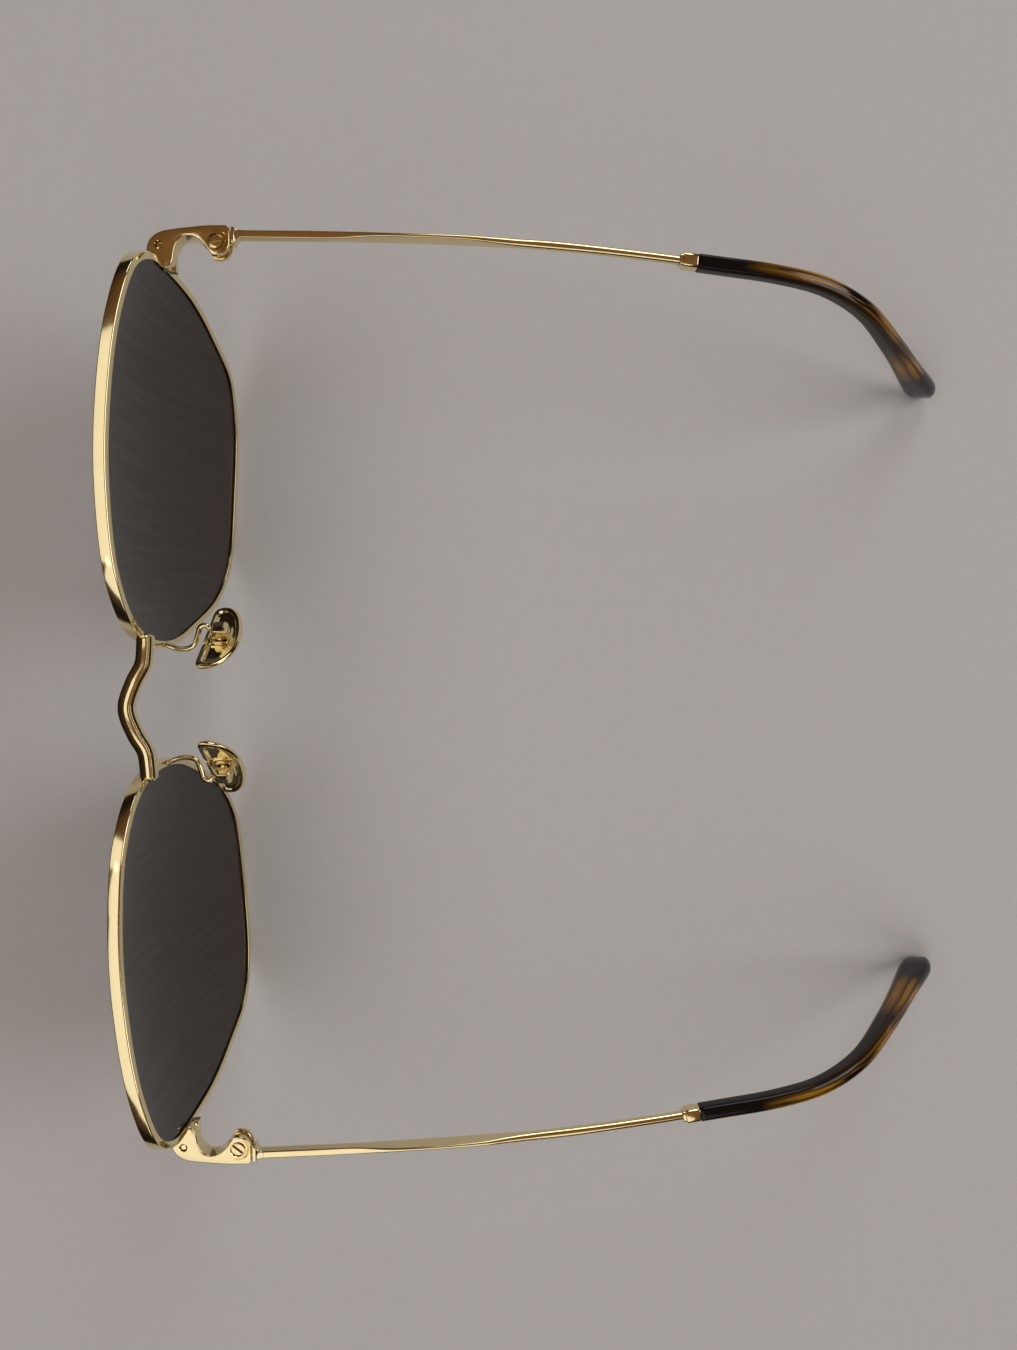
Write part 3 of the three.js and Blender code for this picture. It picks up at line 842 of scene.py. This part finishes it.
def barrel_groove(top):
    """A V-shaped groove beside the pivot screw, round its outer and rear side."""
    ring = arc((PIVOT_X, 0), GROOVE_RADIUS, -20, 150, 60)
    path = Path(np.column_stack([ring, np.full(len(ring), top)]))
    distance = np.linspace(0, path.length, 90)
    section = np.array([(0.17, 0), (0, 0.3), (-0.17, 0), (0, -0.3)])
    section = np.broadcast_to(section, (len(distance), 4, 2))
    return skin(carry(path, distance, section))


class SUNGLASSES_OT_endpieces(bpy.types.Operator):
    """Build the endpieces with the hinges' leaves, and the closing blocks under them"""

    bl_idname = "sunglasses.endpieces"
    bl_label = "Endpieces"

    def execute(self, context):
        bottom, top = PLATE_LOW[2], PLATE_HIGH[2]
        head = (PIVOT_HIGH[0] - PIVOT_LOW[0]) / 2 + SCREW_CLEARANCE
        bore = lathe([(CLOSER_BORE, 30), (CLOSER_BORE, 37)], CLOSER[:2])
        block_plan = np.concatenate([block_front(), [(70.1, BLOCK_BACK), (64.8, BLOCK_BACK)]])
        for side, _ in SIDES:
            gold_piece(
                side, "hinge_plate", "endpiece", plate(endpiece_outline(), bottom, top, PLATE_EDGE), 35,
                block((60, SLOT_FRONT, bottom + LEAF), (75, 5, top - LEAF)),
                block((60, -13, bottom - 1), (75, BLOCK_BACK + FIT_GAP, UNDER_BLOCK)),
                screw_room((PIVOT_X, 0), PIVOT_BORE, head, PIVOT_SEAT, bottom, top),
                screw_room(CLOSER[:2], CLOSER_BORE, CLOSER_BORE, CLOSER_SEAT, bottom, top),
                barrel_groove(top), rim_room(),
            )
            shape = plate(block_plan, LOCK_LOW[2], LOCK_HIGH[2], BLOCK_EDGE)
            gold_piece(side, "closing_block", "rim_lock", shape, 35, bore, rim_room())
        return {"FINISHED"}


def screw(radius, head_radius, head, length_below):
    """A screw whose domed head ends at z = 0: the profile runs up the shank and over the dome."""
    dome = [(head_radius * cos(a), 0.09 * (sin(a) - 1)) for a in np.linspace(0.25, 1.5, 7)]
    return lathe([
        (radius * 0.7, -length_below), (radius, -length_below + 0.12), (radius, -head),
        (head_radius - 0.05, -head), (head_radius, -head + 0.05), *dome,
    ])


def screw_slot(head_radius, degrees):
    """A slot across a screw's head: upright walls and a V-shaped floor."""
    section = [(-0.2, 1), (-0.2, -0.12), (0, -0.38), (0.2, -0.12), (0.2, 1)]
    grid = [[(x, y, z) for y, z in section] for x in (-head_radius - 1, head_radius + 1)]
    return moved(skin(np.array(grid)), turn(2, radians(degrees)))


class SUNGLASSES_OT_screws(bpy.types.Operator):
    """Build the slotted pivot screws and the closing screws under the rims' blocks"""

    bl_idname = "sunglasses.screws"
    bl_label = "Screws"

    def execute(self, context):
        head = (PIVOT_HIGH[0] - PIVOT_LOW[0]) / 2
        closer = (CLOSER_HIGH[0] - CLOSER_LOW[0]) / 2
        over = turn(0, pi)
        for side, _ in SIDES:
            shift = (PIVOT_X, 0, PIVOT_HIGH[2])
            shape = moved(screw(PIVOT_SHANK, head, 0.3, PIVOT_HIGH[2] - PIVOT_LOW[2]), shift=shift)
            slot = moved(screw_slot(head, SLOT_TURN[side]), shift=shift)
            gold_piece(side, "pivot_screw", "hinge_screw", shape, 30, slot)

            shift = (CLOSER[0], CLOSER[1], CLOSER_LOW[2])
            shape = screw(CLOSER_SHANK, closer, 0.35, CLOSER_HIGH[2] - CLOSER_LOW[2])
            slot = moved(moved(screw_slot(closer, 20), over), shift=shift)
            gold_piece(side, "closing_screw", "rim_screw", moved(shape, over, shift), 30, slot)
        return {"FINISHED"}


# ---- Temples ----

temple_path = Path(TEMPLE_POINTS)


def knuckle_plan():
    """A disc with a neck: an arc most of the way round and two straight sides to the shoulder."""
    return np.concatenate([
        arc((PIVOT_X, 0), TONGUE, 93.5, 392, 64), [(PIVOT_X + 1.4, BUTT + 0.3), (PIVOT_X - 0.1, BUTT + 0.3)],
    ])


def shoulder():
    """The temple's butt, lofted from a block as wide as the plate's end down to the temple's bar."""
    y = BUTT + np.array([0, 0.05, 0.15, 0.42, 0.5, 0.6, 0.8, 1.1, 1.35, 1.53])
    inner = np.array([68.58, 68.5, 68.5, 68.52, 68.6, 68.95, 69.2, 69.36, 69.41, 69.42])
    outer = np.array([70.9, 70.97, 70.97, 70.95, 70.88, 70.72, 70.66, 70.62, 70.6, 70.58])
    height = np.array([2.1, 2.24, 2.26, 2.26, 2.16, 1.76, 1.68, 1.66, 1.65, 1.64])
    section = rounded_rectangles(outer - inner, height, np.full(len(y), 0.2), 5)
    grid = np.stack([
        ((inner + outer) / 2)[:, None] + section[..., 0],
        np.broadcast_to(y[:, None], section.shape[:2]),
        SHOULDER_HEIGHT + section[..., 1],
    ], axis=-1)
    return skin(grid)


def temple_bar():
    """The side wire: a flat bar behind the hinge, a thin paddle, then round wire with its end
    inside the tip."""
    wire, paddle = chosen("wire"), chosen("paddle")
    table = [
        (0, 1.15, 1.6, 0.2), (7, 1.15, 1.6, 0.2), (14, 1.1, 1.6, 0.2), (20, 0.75, paddle, 0.3),
        (34, 0.75, paddle, 0.3), (38, 1.15, 1.85, 0.5), (42, wire, wire, wire / 2 - 0.01),
        (60, wire, wire, wire / 2 - 0.01), (150, wire, wire, wire / 2 - 0.01),
    ]
    end = temple_path.length - CORE_SHORT_OF_END
    distance = np.concatenate([np.linspace(-0.1, end - 0.3, 230), [end - 0.12, end]])
    width, height, radius = read_table(table, distance)
    radius = np.minimum(radius, np.minimum(width, height) / 2 - 0.01)
    section = rounded_rectangles(width, height, radius, 7)
    section[-2] *= 0.92
    section[-1] *= 0.6
    return skin(carry(temple_path, distance, section))


def collar():
    """A ferrule round the wire: a small front step, the full band, and a bore. The profile of
    distance and half size closes on itself, so the skin is a ring."""
    size = chosen("collar")
    start, end = COLLAR_START, COLLAR_START + COLLAR_LENGTH
    bore = WIRE_BORE
    profile = [
        (start, bore), (start, 1.84), (start + 0.06, 1.93), (start + 0.44, 1.96), (start + 0.48, size - 0.2),
        (start + 0.52, size - 0.04), (start + 0.64, size), (end - 0.16, size), (end - 0.05, size - 0.05),
        (end, size - 0.16), (end, bore),
    ]
    distance, width = np.array(profile).T
    corner = np.where(width > bore, 0.28 * width, bore / 2 - 0.01)
    return skin(carry(temple_path, distance, rounded_rectangles(width, width, corner, 8)), ring=True)


def ear_tip():
    """The plastic tip: a bore for the wire, the front face, then a sleeve that broadens to a paddle
    with a round end. Returns the skin and, for each point, its distance along the tip and its place
    across it."""
    broad, tall = chosen("tip_width"), chosen("tip_height")
    table = [
        (0, 2.4, 2.4), (20, 2.6, 2.8), (34, 0.903 * broad, 0.56 * tall), (50, 0.97 * broad, 0.746 * tall),
        (64, broad, tall), (90, broad, tall),
    ]
    last = temple_path.length - TIP_TRIM
    core_end = temple_path.length - CORE_SHORT_OF_END + CORE_ROOM
    bore = np.linspace(core_end, TIP_START, 30)
    sleeve = np.linspace(TIP_START + 0.15, last - TIP_ROUNDED_END, 120)
    swing = np.linspace(0, 1.5, 14)[1:]
    cap = last - TIP_ROUNDED_END * (1 - np.sin(swing))
    outer = np.concatenate([[TIP_START, TIP_START + 0.05], sleeve, cap])
    shrink = np.concatenate([[0.93, 0.975], np.ones(len(sleeve)), np.cos(swing)])
    width, height = (shrink * column for column in read_table(table, outer - TIP_START))
    roundness = np.interp(outer - TIP_START, (0, 25, 60), (0.24, 0.34, 0.48))
    corner = roundness * np.minimum(width, height)
    hole = np.full(len(bore), WIRE_BORE)
    hole[0] = 0.1
    sections = np.concatenate([
        rounded_rectangles(hole, hole, hole / 2 - 0.01, 11), rounded_rectangles(width, height, corner, 11),
    ])
    distance = np.concatenate([bore, outer])
    grain = np.concatenate([
        np.broadcast_to((distance - TIP_START)[:, None, None], (*sections.shape[:2], 1)), sections,
    ], axis=-1)
    return skin(carry(temple_path, distance, sections)), grain.reshape(-1, 3)


class SUNGLASSES_OT_temples(bpy.types.Operator):
    """Build the temples: hinge knuckles with their shoulders, side wires and collars"""

    bl_idname = "sunglasses.temples"
    bl_label = "Temples"

    def execute(self, context):
        low = PLATE_LOW[2] + LEAF + FIT_GAP
        high = PLATE_HIGH[2] - LEAF - FIT_GAP
        for side, sign in SIDES:
            shape = plate(knuckle_plan(), low, high, KNUCKLE_EDGE)
            knuckle = mesh_object(f"{side}_hinge_knuckle", shape, sign)
            combine(knuckle, [mesh_object("shoulder", shoulder(), sign)], "UNION")
            cut(knuckle, sign, lathe([(PIVOT_BORE, low - 1), (PIVOT_BORE, high + 1)], (PIVOT_X, 0)))
            finish_piece(knuckle, f"{side}_temple_hinge", gold_material(), 30)

            gold_piece(side, "side_wire", "temple", temple_bar(), 40)
            gold_piece(side, "ferrule", "collar", collar(), 35)
        return {"FINISHED"}


class SUNGLASSES_OT_tips(bpy.types.Operator):
    """Build the tortoise ear tips"""

    bl_idname = "sunglasses.tips"
    bl_label = "Ear Tips"

    def execute(self, context):
        for side, sign in SIDES:
            shape, grain = ear_tip()
            piece = mesh_object(f"{side}_ear_tip", shape, sign)
            pattern = piece.data.attributes.new("grain", "FLOAT_VECTOR", "POINT")
            pattern.data.foreach_set("vector", grain.ravel())
            acetate = shared_material("tortoise_acetate", tortoise_acetate)
            finish_piece(piece, f"{side}_temple_tip", acetate, 50)
        return {"FINISHED"}


# ---- Nose pads ----


def in_pad(shell):
    """From the pad's own frame, X away from the nose, Y to the back and Z along the pad."""
    return moved(shell, turn(1, PAD_SPLAY), PAD_CENTRE)


def pad_outline():
    """The D-shaped plan of a pad: y to the back and z up, straight in front and round behind."""
    return np.concatenate([
        bezier((-2.9, 6.3), (-2.4, 7.1), (-0.2, 6.7), (0.9, 5.6), count=16),
        bezier((0.9, 5.6), (2.6, 3.9), (3.1, 1.6), (3.0, -0.8), count=20),
        bezier((3.0, -0.8), (2.9, -4.4), (1.6, -7.0), (-0.3, -7.0), count=24),
        bezier((-0.3, -7.0), (-1.2, -7.0), (-1.8, -6.6), (-2.0, -5.6), count=10),
        np.linspace((-2.0, -5.6), (-3.05, 5.5), 30)[1:],
        bezier((-3.05, 5.5), (-3.07, 5.95), (-2.9, 6.3), count=5)[:-1],
    ])


def pad_plate():
    """A pad: a cushioned face towards the nose, a round edge, a border rolled over like half an
    ellipse and a recessed mirror field behind it. Each ring is the outline drawn in by an inset."""
    half = chosen("pad_thickness") / 2
    shape = pad_outline()
    middle = (shape.min(0) + shape.max(0)) / 2
    reach = (shape.max(0) - shape.min(0)) / 2
    field = half - 0.28
    cushion = [
        (2.95, -half), (2.4, -half + 0.005), (1.6, -half + 0.02), (1.0, -half + 0.06), (0.55, -half + 0.13),
        (0.25, -half + 0.22), (0.08, -half + 0.34), (0, -half + 0.5),
    ]
    swing = np.linspace(0, pi, 15)
    border = half - PAD_ROLL_HEIGHT
    roll = [(PAD_ROLL * (1 - cos(a)), border + PAD_ROLL_HEIGHT * sin(a)) for a in swing]
    profile = [*cushion, *roll, (1.14, field + 0.02), (1.2, field), (2.0, field - 0.01), (2.95, field)]
    grid = []
    for step, x in profile:
        ring = middle + (shape - middle) * (1 - step / reach)
        grid.append(np.column_stack([np.full(len(ring), x), ring]))
    return skin(np.array(grid))


def upright_plate(width, height, radius, low, high, edge):
    """A rounded rectangle in Y and Z, from one x to another."""
    y, z = width / 2, height / 2
    shape = rounded_polygon([(-y, -z), (y, -z), (y, z), (-y, z)], radius)
    points, faces = plate(shape, low, high, edge)
    return points[:, [2, 0, 1]], faces


def channel():
    """The open box that holds a pad's lug: a C-shaped section carried up the pad."""
    corners = [
        (0.85, -1.2), (2.5, -1.2), (2.5, 1.2), (0.85, 1.2),
        (0.85, 0.8), (2.1, 0.8), (2.1, -0.8), (0.85, -0.8),
    ]
    section = rounded_polygon(corners, [0.12, 0.6, 0.6, 0.12, 0.12, 0.35, 0.35, 0.12])
    return plate(section, -1.15, 1.15, 0.16)


def crossbar(radius, half_length, head):
    """A round pin along Y through the pivot, with domed heads."""
    profile = [
        (0.05, -half_length), (0.7 * head, -half_length + 0.03), (head, -half_length + 0.1),
        (head, -half_length + 0.16), (radius, -half_length + 0.18), (radius, half_length - 0.18),
        (head, half_length - 0.16), (head, half_length - 0.1), (0.7 * head, half_length - 0.03),
        (0.05, half_length),
    ]
    return moved(lathe(profile, sides=32), turn(0, pi / 2), (PAD_PIVOT, 0, 0))


def pad_wire():
    """A round wire bent from the rim back and up to the pad's box, with rounded ends."""
    radius = chosen("pad_wire") / 2
    path = Path(PAD_ARM_POINTS)
    distance, size = round_ended(path, radius, 90, 6)
    size = 2 * radius * size
    return skin(carry(path, distance, rounded_rectangles(size, size, 0.495 * size, 6)))


class SUNGLASSES_OT_pads(bpy.types.Operator):
    """Build the nose pads with their arms, boxes and cross pins"""

    bl_idname = "sunglasses.pads"
    bl_label = "Nose Pads"

    def execute(self, context):
        half = chosen("pad_thickness") / 2
        for side, sign in SIDES:
            pad = mesh_object(f"{side}_pad_plate", in_pad(pad_plate()), sign)
            steps = [
                upright_plate(3.0, 4.4, 0.35, half - 0.4, half - 0.04, 0.06),
                upright_plate(2.3, 3.2, 0.3, half - 0.3, half + 0.1, 0.06),
                upright_plate(1.1, 1.8, 0.25, half - 0.2, PAD_PIVOT + 0.4, 0.12),
            ]
            joined = [mesh_object(f"step_{i}", in_pad(shell), sign) for i, shell in enumerate(steps)]
            combine(pad, joined, "UNION")
            cut(pad, sign, in_pad(crossbar(PAD_PIN_BORE, 1.5, PAD_PIN_BORE)))
            finish_piece(pad, f"{side}_nose_pad", pad_material(), 28)

            bore = in_pad(crossbar(BOX_PIN_BORE, 2.0, BOX_PIN_BORE))
            gold_piece(side, "pad_saddle", "pad_box", in_pad(channel()), 35, bore)
            pin = in_pad(crossbar(PIN_RADIUS, 1.3, PIN_HEAD))
            gold_piece(side, "pad_pin", "pad_screw", pin, 40)
            gold_piece(side, "pad_wire", "pad_arm", pad_wire(), 40, rim_room())
        return {"FINISHED"}


# ---- Stage ----

ROOM_TONES = [(0.012, 0.009, 0.007, 1), (0.19, 0.095, 0.042, 1)]
BACKDROP = (0.38, 0.37, 0.365, 1)
FLOOR_RADIUS = 1.1
FLOOR_SIDES = 96
FLOOR_GAP = 0.00005
LIGHT_AIM = (0, 0, 0.02)
LIGHTS = [  # name, place, size and watts
    ("left_window", (0.48, -0.25, 0.75), (1.15, 0.48), 1.6),
    ("front_window", (-0.07, -0.52, 0.78), (0.4, 0.66), 0.75),
    ("back_light", (-0.15, 1.0, 0.85), (0.9, 0.7), 5.0),
    ("side_light", (-0.95, 0.2, 0.55), (0.4, 0.6), 1.6),
]
CAMERA_LENS = 26.13
CAMERA_PLACE = (-0.01072, -0.02233, 0.18616)
CAMERA_TURN = (-2.561, -3.537, 89.338)  # degrees


def area_light(name, place, size, power):
    """A soft rectangular light that faces the middle of the sunglasses."""
    light = bpy.data.lights.new(name, "AREA")
    light.shape = "RECTANGLE"
    light.size, light.size_y = size
    light.energy = power
    lamp = bpy.data.objects.new(name, light)
    bpy.context.scene.collection.objects.link(lamp)
    lamp.location = place
    away = lamp.location - Vector(LIGHT_AIM)
    lamp.rotation_euler = away.to_track_quat("Z", "Y").to_euler()
    lamp.visible_camera = False


def room_behind(tree):
    """A dark warm room, near black at the horizon and browner overhead, for the metal to reflect.
    Seen directly it is a plain pale backdrop."""
    direction = tree.nodes.new("ShaderNodeTexCoord").outputs["Generated"]
    split = tree.nodes.new("ShaderNodeSeparateXYZ")
    tree.links.new(direction, split.inputs[0])
    ramp = tree.nodes.new("ShaderNodeValToRGB")
    tree.links.new(split.outputs["Z"], ramp.inputs[0])
    for element, tone in zip(ramp.color_ramp.elements, ROOM_TONES):
        element.color = tone
    ramp.color_ramp.elements[0].position = 0.35
    seen = tree.nodes.new("ShaderNodeLightPath").outputs["Is Camera Ray"]
    choose = tree.nodes.new("ShaderNodeMix")
    choose.data_type = "RGBA"
    tree.links.new(seen, choose.inputs["Factor"])
    tree.links.new(ramp.outputs[0], choose.inputs[6])
    choose.inputs[7].default_value = BACKDROP
    tree.links.new(choose.outputs[2], tree.nodes["Background"].inputs["Color"])


class SUNGLASSES_OT_stage(bpy.types.Operator):
    """Build the pale floor, the soft lights and the camera"""

    bl_idname = "sunglasses.stage"
    bl_label = "Stage"

    def execute(self, context):
        scene = context.scene
        angle = np.arange(FLOOR_SIDES) * 2 * pi / FLOOR_SIDES
        ring = FLOOR_RADIUS * np.column_stack([np.cos(angle), np.sin(angle), 0 * angle])
        mesh = bpy.data.meshes.new("floor")
        mesh.from_pydata(ring.tolist(), [], [list(range(FLOOR_SIDES))])
        mesh.materials.append(shared_material("floor_paper", floor_paper))
        floor = bpy.data.objects.new("floor", mesh)
        floor.location.z = cad_box[0].z - FLOOR_GAP
        scene.collection.objects.link(floor)

        world = bpy.data.worlds.new("soft_room")
        world.use_nodes = True
        room_behind(world.node_tree)
        scene.world = world
        scene.view_settings.view_transform = "Standard"
        for light in LIGHTS:
            area_light(*light)

        camera = bpy.data.cameras.new("camera")
        camera.sensor_width = 36.0
        camera.lens = CAMERA_LENS
        camera.clip_start = 0.005
        viewer = bpy.data.objects.new("camera", camera)
        viewer.location = CAMERA_PLACE
        viewer.rotation_euler = [radians(angle) for angle in CAMERA_TURN]
        scene.collection.objects.link(viewer)
        scene.camera = viewer
        return {"FINISHED"}


# ---- Panel and registration ----

OPERATORS = (
    SUNGLASSES_OT_stage,
    SUNGLASSES_OT_rims,
    SUNGLASSES_OT_lenses,
    SUNGLASSES_OT_bridge,
    SUNGLASSES_OT_endpieces,
    SUNGLASSES_OT_screws,
    SUNGLASSES_OT_temples,
    SUNGLASSES_OT_tips,
    SUNGLASSES_OT_pads,
)


class VIEW3D_PT_sunglasses(bpy.types.Panel):
    """Sizes, colours and builders of the sunglasses"""

    bl_idname = "VIEW3D_PT_sunglasses"
    bl_label = "Sunglasses"
    bl_space_type = "VIEW_3D"
    bl_region_type = "UI"
    bl_category = "Sunglasses"

    def draw(self, context):
        for group in (context.scene.sunglasses_sizes, context.scene.sunglasses_colours):
            box = self.layout.box()
            for name in group.__annotations__:
                box.prop(group, name)
        for operator in OPERATORS:
            self.layout.operator(operator.bl_idname)


CLASSES = (SunglassesSizes, SunglassesColours, *OPERATORS, VIEW3D_PT_sunglasses)


def register():
    for cls in CLASSES:
        bpy.utils.register_class(cls)
    bpy.types.Scene.sunglasses_sizes = PointerProperty(type=SunglassesSizes)
    bpy.types.Scene.sunglasses_colours = PointerProperty(type=SunglassesColours)


def unregister():
    del bpy.types.Scene.sunglasses_colours
    del bpy.types.Scene.sunglasses_sizes
    for cls in reversed(CLASSES):
        bpy.utils.unregister_class(cls)


def main():
    register()
    for operator in OPERATORS:
        group, name = operator.bl_idname.split(".")
        getattr(getattr(bpy.ops, group), name)()


if __name__ == "__main__":
    main()
